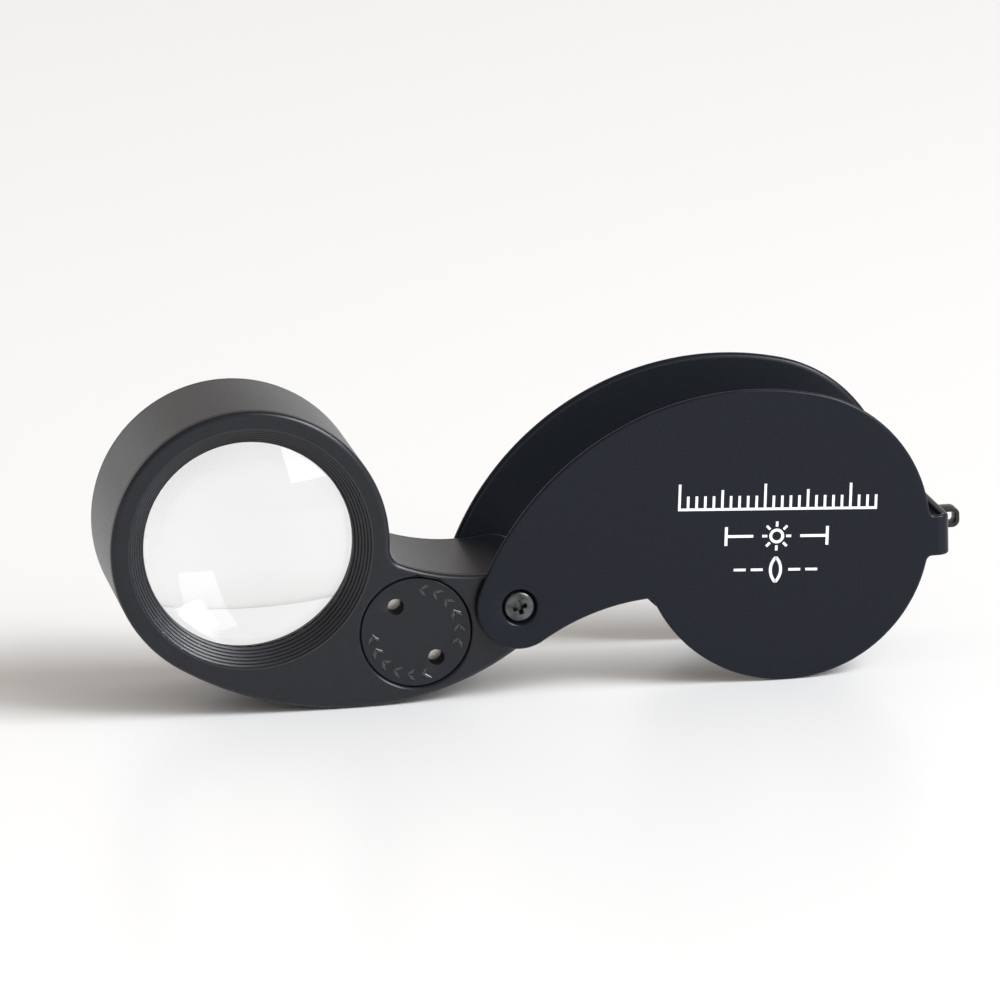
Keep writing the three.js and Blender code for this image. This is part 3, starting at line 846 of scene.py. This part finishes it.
def arm_parts():
    """The housing with its bores, cap well, cell bay and switch slot, and its two plates."""
    outline = arm_outline()
    body_end = BODY_HALF - PLATE_T
    barrel_hole = circle(BARREL.x, BARREL.z, LENS_BORE_R, 128)
    seat = FUNNEL_SEAT - LENS_BORE_R
    seat_y = -BODY_HALF + FUNNEL_DEPTH
    chamber = CHAMBER_R - LENS_BORE_R
    bore_rows = [(seat, -body_end), (seat, seat_y), (0, seat_y), (0, LENS_BORE_END)]
    bore_rows += [(chamber, LENS_BORE_END), (chamber, body_end)]
    side_rows = [(SEAM, -body_end), (0, -body_end + SEAM), (0, body_end - SEAM), (SEAM, body_end)]
    housing = to_object("arm_body", slab(outline, side_rows, [(barrel_hole, bore_rows)]))
    pocket = [POCKET_LOW, (POCKET_HIGH[0], body_end + 1, POCKET_HIGH[1])]
    moved = [[(x + PIVOT.x, y, z) for x, y, z in pair] for pair in (WINDOW, pocket)]
    cut(
        housing,
        rod(CAP.x, CAP.z, WELL_R, -BODY_HALF - 1, WELL_END, 128),
        rod(CAP.x, CAP.z, CELL_BAY_R, CELL_BAY_START, BODY_HALF + 1, 96),
        block(*moved[0]),
        block(*moved[1]),
        lamp_axis(rod(0, 0, LAMP_BORE_R, -2.6, 3.5, 48)),
    )
    finish_piece(housing, SIDE_BLACK, "arm", "body_black", "arm_housing")
    arm_face(outline, body_end)
    arm_back(outline, body_end)


def arm_face(outline, body_end):
    front_rows = rounded(-BODY_HALF, -BODY_HALF + BODY_ROUND, BODY_ROUND, 5)
    front_rows += [(0, -body_end - SEAM), (SEAM, -body_end)]
    seat_rows = [(0, -BODY_HALF), (0, -body_end)]
    lip, face_y = WELL_LIP, -BODY_HALF
    well_rows = [(lip + 0.05, face_y), (lip, face_y), (lip - 0.06, face_y + 0.03)]
    well_rows += [(0.03, face_y + lip - 0.03), (0, face_y + lip + 0.05), (0, -body_end)]
    holes = [
        (circle(BARREL.x, BARREL.z, FUNNEL_RIM + 0.01, 180), seat_rows),
        (circle(CAP.x, CAP.z, WELL_R, 128), well_rows),
    ]
    face = to_object("arm_face", slab(outline, front_rows, holes))
    even_normals(face)
    finish_piece(face, BODY_BLACK, "arm", "body_black", "face_plate")


def arm_back(outline, body_end):
    back_rows = [(SEAM, body_end), (0, body_end + SEAM)]
    back_rows += reversed(rounded(BODY_HALF, BODY_HALF - BODY_ROUND, BODY_ROUND, 5))
    rim_rows = [(0, body_end), (0, BODY_HALF - 0.25), (0.07, BODY_HALF - 0.07), (0.25, BODY_HALF)]
    back_holes = [(circle(BARREL.x, BARREL.z, CHAMBER_R, 128), rim_rows)]
    sink = BACK_SCREW_R + 0.1
    sink_rows = [(0, body_end), (0, BODY_HALF - 0.65), (0.4, BODY_HALF - 0.2), (0.45, BODY_HALF)]
    for i in (1, 2, 3):
        at = centre_mm(f"back_screw_{i}")
        back_holes.append((circle(at.x, at.z, sink - 0.45, 32), sink_rows))
    back = to_object("arm_back", slab(outline, back_rows, back_holes))
    cut(back, stop_groove())
    even_normals(back)
    finish_piece(back, BODY_BLACK, "arm", "body_black", "back_plate")


def stop_groove():
    """The curved groove in the back that the cover's stop pin runs in."""
    half, low, high = STOP_GROOVE_HALF, STOP_GROOVE_FROM, STOP_GROOVE_TO
    ends = []
    for deg in (high, low):
        a = math.radians(deg)
        ends.append((PIVOT.x + STOP_R * math.cos(a), PIVOT.z + STOP_R * math.sin(a)))
    outline = without_repeats(
        arc(PIVOT.x, PIVOT.z, STOP_R + half, low, high, 4)
        + arc(*ends[0], half, high, high + 180, 12)
        + arc(PIVOT.x, PIVOT.z, STOP_R - half, high, low, 4)
        + arc(*ends[1], half, low + 180, low + 360, 12)
    )
    return slab(outline, [(0, BODY_HALF - STOP_GROOVE_DEPTH), (0, BODY_HALF + 1)])


def lamp_axis(bm):
    """Lays a part made along Y onto the lamp's tilted axis."""
    toward = Vector((CAP.x - BARREL.x, 0, CAP.z - BARREL.z)).normalized()
    tilt = math.radians(LAMP_TILT)
    along = Vector((-toward.x * math.cos(tilt), math.sin(tilt), -toward.z * math.cos(tilt)))
    turn = Vector((0, 1, 0)).rotation_difference(along).to_matrix().to_4x4()
    x, z = BARREL.x + toward.x * LAMP_AT_R, BARREL.z + toward.z * LAMP_AT_R
    place = Matrix.Translation((x, LAMP_AT_Y, z))
    bmesh.ops.transform(bm, matrix=place @ turn, verts=bm.verts)
    return bm


# ---------- optics ----------


def funnel_ring():
    """A cone from the face down to the lens, turned with round grooves that leave sharp crests."""
    front = -BODY_HALF
    back = front + FUNNEL_DEPTH
    run, drop = FUNNEL_DEPTH - FUNNEL_LIP, FUNNEL_OPEN - FUNNEL_THROAT
    slope = math.hypot(run, drop)
    out_r, out_y = run / slope, drop / slope
    profile = [(FUNNEL_RIM, front + 0.3), (FUNNEL_RIM, front), (FUNNEL_OPEN + 0.04, front)]
    per = FUNNEL_GROOVE_POINTS
    count = FUNNEL_STEPS * per
    for i in range(count + 1):
        t = i / count
        sink = FUNNEL_GROOVE * math.sin(math.pi * (i % per) / per)
        profile.append((FUNNEL_OPEN - drop * t + out_r * sink, front + run * t + out_y * sink))
    profile += [(FUNNEL_THROAT, back), (FUNNEL_RIM, back), (FUNNEL_RIM, front + 0.3)]
    ring = to_object("funnel_ring", turned(profile, BARREL.x, BARREL.z, 200))
    finish_piece(ring, RING_BLACK, "arm", "ring_black", "eyepiece_ring")


def lens(name, node, y_flat, side):
    """A flat-backed lens. side is the way its curved face points."""
    sphere = (LENS_CLEAR**2 + LENS_BULGE**2) / (2 * LENS_BULGE)
    y_edge = y_flat + side * LENS_EDGE
    profile = []
    for i in range(25):
        r = LENS_CLEAR * i / 24
        profile.append((r, y_edge + side * (math.sqrt(sphere**2 - r**2) - sphere + LENS_BULGE)))
    profile += [(LENS_R - 0.06, y_edge), (LENS_R, y_edge - side * 0.06)]
    profile += [(LENS_R, y_flat + side * 0.06), (LENS_R - 0.06, y_flat), (0, y_flat)]
    obj = to_object(name, turned(profile, BARREL.x, BARREL.z, 160), 12)
    finish_piece(obj, LENS_GLASS, "arm", "lens_glass", node)


def optics():
    funnel_ring()
    lens("lens_near_eye", "lens_front", box_mm("lens_front")[1].y, -1)
    lens("lens_far", "lens_rear", box_mm("lens_rear")[0].y, 1)
    for name, node, r in (
        ("spacer_tube", "lens_spacer", SPACER_R),
        ("keeper_ring", "lens_keeper_ring", KEEPER_R),
    ):
        y0, y1 = (corner.y for corner in box_mm(node))
        profile = [(r, y0), (r, y1 - 0.12), (r + 0.12, y1), (LENS_R, y1), (LENS_R, y0), (r, y0)]
        ring = to_object(name, turned(profile, BARREL.x, BARREL.z, 128))
        finish_piece(ring, INNER_BLACK_AND_HOLE_SHADE, "arm", "ring_black", node)


# ---------- screws ----------


def cross_screw(name, node, side):
    """A domed cross-head screw in the cover's sunk hole. side is -1 at the front."""
    head, seat = SHEET_OUT, BODY_HALF
    profile = [(r, head - drop) for r, drop in HEAD_DOME]
    profile += [(SCREW_R, head - 0.44), (SHANK_R + 0.15, seat + 0.25), (SHANK_R, seat + 0.1)]
    profile += [(SHANK_R, 4.1), (SHANK_R - 0.35, 3.75), (0, 3.75)]
    screw = to_object(name, turned([(r, side * y) for r, y in profile], PIVOT.x, PIVOT.z, 96))
    tilt = Matrix.Rotation(math.radians(15 * side), 4, "Y")
    for turn in (0, 90):
        low = (-CROSS_REACH, head - CROSS_DEPTH, -CROSS_HALF)
        slot = block(low, (CROSS_REACH, head + 1, CROSS_HALF))
        for v in slot.verts:
            if v.co.y < head:
                v.co.x *= 0.5
                v.co.z *= 0.6
        if side < 0:
            bmesh.ops.scale(slot, vec=(1, -1, 1), verts=slot.verts)
        spin = Matrix.Rotation(math.radians(turn), 4, "Y")
        place = Matrix.Translation((PIVOT.x, 0, PIVOT.z))
        bmesh.ops.transform(slot, matrix=place @ tilt @ spin, verts=slot.verts)
        cut(screw, slot)
    finish_piece(screw, SCREW_STEEL, "arm", "screw_steel", node)


def slot_screw(index):
    """A small flat screw of the back plate, sunk flush, with a straight slot."""
    at = centre_mm(f"back_screw_{index}")
    r, top = BACK_SCREW_R, BODY_HALF
    profile = [(0, top), (r - 0.1, top), (r, top - 0.08), (0.5, top - 0.6), (0.5, 5.5), (0, 5.2)]
    screw = to_object(f"slot_screw_{index}", turned(profile, at.x, at.z, 48))
    low = (at.x - 1.2, top - SLOT_DEPTH, at.z - SLOT_HALF)
    high = (at.x + 1.2, top + 1, at.z + SLOT_HALF)
    cut(screw, block(low, high))
    finish_piece(screw, SCREW_STEEL, "arm", "screw_steel", f"back_screw_{index}")


# ---------- battery cap ----------


def cap_disc():
    """The cap with its two spanner holes, whose walls take a darker, duller black as painted shade.
    """
    low, high = box_mm("battery_cap")
    rim = circle(CAP.x, CAP.z, CAP_R, 128)
    rows = rounded(low.y, low.y + CAP_EDGE, CAP_EDGE, 3, 0.04) + [(0, high.y - 0.1), (0.1, high.y)]
    hole_rows = [(0.1, low.y), (0.02, low.y + 0.03), (0, low.y + 0.1), (0, high.y)]
    a = math.radians(CAP_HOLE_DEG)
    holes = []
    for side in (1, -1):
        at = side * CAP_HOLE_AT
        x, z = CAP.x + at * math.cos(a), CAP.z + at * math.sin(a)
        holes.append((circle(x, z, CAP_HOLE_R, 48), hole_rows))
    disc = to_object("cap_disc", slab(rim, rows, holes))
    even_normals(disc)
    finish_piece(disc, CAP_BLACK, "cap", "cap_black", "battery_cap")
    # Hole walls take the darker, duller black: painted shade in the holes.
    disc.data.materials.append(INNER_BLACK_AND_HOLE_SHADE)
    for face in disc.data.polygons:
        across = math.hypot(face.center.x / MM - CAP.x, face.center.z / MM - CAP.z)
        if abs(face.normal.y) < 0.3 and across < CAP_R - 0.5:
            face.material_index = 1


def raised(bm, outline, face_y):
    """A low raised mark with a narrower top, standing on a face that looks along -Y."""
    profile = [(0, face_y + 0.02), (0, face_y - 0.015), (MARK_SLOPE, face_y - MARK_HEIGHT)]
    made = add_rows(bm, inset_rows(outline, profile, 1))
    fill(bm, made[0])
    fill(bm, made[-1])


def on_cap(r, deg):
    a = math.radians(deg)
    return CAP.x + r * math.cos(a), CAP.z + r * math.sin(a)


def chevron(bm, face_y, deg, way):
    """An arrowhead of two raised bars on the cap's rim. way is 1 when it points anticlockwise."""
    for side in (1, -1):
        end_r = MARK_RING_R + side * MARK_HALF
        bar = [on_cap(MARK_RING_R, deg + way * 5), on_cap(end_r, deg - way * 2)]
        bar += [on_cap(end_r, deg - way * 8), on_cap(MARK_RING_R, deg - way * 1.5)]
        raised(bm, bar if side * way < 0 else bar[::-1], face_y)


def cap_marks():
    """Raised arrowheads round the rim: one run points the opening way, one the shutting way."""
    face_y = box_mm("battery_cap")[0].y
    bm = bmesh.new()
    for i in range(MARKS_PER_RUN):
        chevron(bm, face_y, 80 - MARK_STEP_DEG * i, 1)
        chevron(bm, face_y, 184 + MARK_STEP_DEG * i, -1)
    marks = to_object("cap_marks", bm)
    # The marks take the lighter black: painted sheen.
    finish_piece(marks, MARK_BLACK_PAINTED_SHEEN, "cap", "cap_black")


# ---------- lamp and switch ----------


def lamp():
    """A clear domed lamp and the yellow chip inside it, unlit."""
    dome = arc(0, 0.3, LAMP_R, 90, 0, 9)
    dome[0] = (0, dome[0][1])
    dome += [(LAMP_R, -2.0), (0, -2.0)]
    resin = to_object("lamp_dome", lamp_axis(turned(dome, 0, 0, 64)))
    finish_piece(resin, LAMP_RESIN, "arm", "lamp_clear", "led_lamp")
    chip = [(0, -0.2), (0.62, -0.2), (0.7, -0.35), (0.5, -1.4), (0, -1.4)]
    core = to_object("lamp_chip", lamp_axis(turned(chip, 0, 0, 48)))
    finish_piece(core, PHOSPHOR, "arm", "lamp_clear")


def switch_knob():
    """The slide switch: a plain base inside the arm and a ridged grip that stands out below."""
    low, high = box_mm("switch_slider")
    base = block((low.x, low.y, KNOB_BASE_Z), (high.x, high.y, high.z))
    knob = to_object("slider_base", base)
    mod = knob.modifiers.new("soft_edges", "BEVEL")
    mod.width = 0.12 * MM
    mod.segments = 2
    bake_modifiers(knob)
    shade(knob)
    finish_piece(knob, SLIDER_BLACK, "switch", "slider_plastic", "switch_slider")

    y0, y1 = KNOB_Y
    pitch = (y1 - y0) / KNOB_RIDGES
    valley, crest = low.z + RIDGE_DEPTH, low.z
    profile = [(y0, KNOB_TOP)]
    for i in range(KNOB_RIDGES):
        y = y0 + i * pitch
        profile += [(y + pitch * 0.15, valley), (y + pitch * 0.35, crest)]
        profile += [(y + pitch * 0.65, crest), (y + pitch * 0.85, valley)]
    profile += [(y1, KNOB_TOP)]
    bm = bmesh.new()
    ends = add_rows(bm, [[(PIVOT.x + x, y, z) for y, z in profile] for x in KNOB_X])
    bm.faces.new(ends[0])
    bm.faces.new(list(reversed(ends[1])))
    grip = to_object("slider_grip", bm)
    finish_piece(grip, SLIDER_BLACK, "switch", "slider_plastic")


# ---------- CAD nodes that keep their own shape ----------

KEPT = {
    "stop_pin": SCREW_STEEL,
    "pivot_washer_front": WASHER_BRASS,
    "pivot_washer_rear": WASHER_BRASS,
    "cap_contact_disc": CONTACT,
    "battery_spring": CONTACT,
    "switch_contact": CONTACT,
    "battery_cell_1": CELL_NICKEL,
    "battery_cell_2": CELL_NICKEL,
    "battery_cell_3": CELL_NICKEL,
    "led_lead_1": CELL_NICKEL,
    "led_lead_2": CELL_NICKEL,
    "battery_sleeve": SLEEVE,
    "circuit_board": BOARD,
    "resistor": COMPONENT,
}


def paint_kept_nodes():
    for name, material in KEPT.items():
        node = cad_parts[name]
        for slot in node.material_slots:
            slot.material = material


# ---------- studio ----------


TABLE_HALF = 4000
TABLE_WHITE = (0.88, 0.88, 0.88)
HORIZON_WHITE = (0.97, 0.965, 0.96, 1)
OVERHEAD_GREY = (0.46, 0.42, 0.385, 1)
KEY_COLOUR = (0.91, 0.955, 1.0)
FILL_COLOUR = (1.0, 1.0, 1.0)
LIT_POINT = (0.0, 0.0, 0.015)

CAMERA_AZIMUTH = -9.771
CAMERA_ELEVATION = 13.351
CAMERA_ROLL = -1.671
CAMERA_TARGET = (-5.487, -BODY_HALF, 23.259)
CAMERA_DISTANCE = 0.8
CAMERA_LENS = 253.2
CAMERA_SENSOR = 36


def floor():
    """A pale glossy table that runs on as far as the picture sees."""
    bm = bmesh.new()
    bmesh.ops.create_grid(bm, x_segments=1, y_segments=1, size=TABLE_HALF)
    obj = to_object("table", bm)
    material, tree, shader = new_material("table_white", TABLE_WHITE, 0.3)
    vary_gloss(tree, shader, noise(tree, 3, 2), 0.27, 0.33)
    obj.data.materials.append(material)


def area_light(name, place, width, height, power, colour):
    """A rectangular light turned towards the object. Place and sizes in metres, power in watts."""
    data = bpy.data.lights.new(name, "AREA")
    data.shape = "RECTANGLE"
    data.size = width
    data.size_y = height
    data.energy = power
    data.color = colour
    obj = bpy.data.objects.new(name, data)
    obj.location = place
    obj.rotation_mode = "QUATERNION"
    toward = Vector(LIT_POINT) - Vector(place)
    obj.rotation_quaternion = toward.to_track_quat("-Z", "Y")
    bpy.context.scene.collection.objects.link(obj)


def room():
    """Soft light from all round: white low down, dimmer and warmer overhead and high up behind."""
    world = bpy.data.worlds.new("studio")
    world.use_nodes = True
    tree = world.node_tree
    place = tree.nodes.new("ShaderNodeTexCoord")
    split = tree.nodes.new("ShaderNodeSeparateXYZ")
    behind = tree.nodes.new("ShaderNodeMapRange")
    behind.inputs["From Min"].default_value = 0.5
    behind.inputs["From Max"].default_value = 1.0
    behind.inputs["To Max"].default_value = 0.35
    lift = tree.nodes.new("ShaderNodeMath")
    lift.operation = "MULTIPLY_ADD"
    fade = tree.nodes.new("ShaderNodeMapRange")
    fade.interpolation_type = "SMOOTHSTEP"
    fade.inputs["From Min"].default_value = 0.16
    fade.inputs["From Max"].default_value = 0.4
    ramp = tree.nodes.new("ShaderNodeValToRGB")
    ramp.color_ramp.elements[0].color = HORIZON_WHITE
    ramp.color_ramp.elements[1].color = OVERHEAD_GREY
    tree.links.new(place.outputs["Generated"], split.inputs["Vector"])
    tree.links.new(split.outputs["Y"], behind.inputs["Value"])
    tree.links.new(split.outputs["Z"], lift.inputs[0])
    tree.links.new(behind.outputs["Result"], lift.inputs[1])
    tree.links.new(split.outputs["Z"], lift.inputs[2])
    tree.links.new(lift.outputs["Value"], fade.inputs["Value"])
    tree.links.new(fade.outputs["Result"], ramp.inputs["Fac"])
    tree.links.new(ramp.outputs["Color"], tree.nodes["Background"].inputs["Color"])
    bpy.context.scene.world = world


def place_at(azimuth, elevation, distance):
    """A place in metres, with its azimuth counted from +X."""
    a, e = math.radians(azimuth), math.radians(elevation)
    flat = distance * math.cos(e)
    return flat * math.cos(a), flat * math.sin(a), distance * math.sin(e)


def studio():
    floor()
    room()
    area_light("key", place_at(-32, 42, 4.0), 2.2, 1.6, 160.0, KEY_COLOUR)
    area_light("fill", place_at(-53, 34, 1.2), 0.58, 1.0, 6.2, FILL_COLOUR)


def camera():
    """Placed by direction and distance from a point on the front face, with a slight roll."""
    azimuth, elevation = math.radians(CAMERA_AZIMUTH), math.radians(CAMERA_ELEVATION)
    roll = math.radians(CAMERA_ROLL)
    target = Vector(CAMERA_TARGET) * MM
    back = Vector(
        (
            math.sin(azimuth) * math.cos(elevation),
            -math.cos(azimuth) * math.cos(elevation),
            math.sin(elevation),
        )
    )
    right = (-back).cross(Vector((0, 0, 1))).normalized()
    up = right.cross(-back)
    tilted_right = math.cos(roll) * right + math.sin(roll) * up
    tilted_up = -math.sin(roll) * right + math.cos(roll) * up
    turn = Matrix((tilted_right, tilted_up, back)).transposed().to_4x4()
    data = bpy.data.cameras.new("camera")
    data.sensor_width = CAMERA_SENSOR
    data.lens = CAMERA_LENS
    data.clip_start = 0.05
    data.clip_end = 20
    obj = bpy.data.objects.new("camera", data)
    obj.matrix_world = Matrix.Translation(target + back * CAMERA_DISTANCE) @ turn
    bpy.context.scene.collection.objects.link(obj)
    bpy.context.scene.camera = obj


camera()
cover_sheet()
lanyard_loop()
printed_marks()
arm_parts()
optics()
cross_screw("pivot_cross_screw_front", "pivot_screw_front", -1)
cross_screw("pivot_cross_screw_rear", "pivot_screw_rear", 1)
for number in (1, 2, 3):
    slot_screw(number)
cap_disc()
cap_marks()
lamp()
switch_knob()
paint_kept_nodes()
studio()
bpy.context.scene.view_settings.view_transform = "Standard"
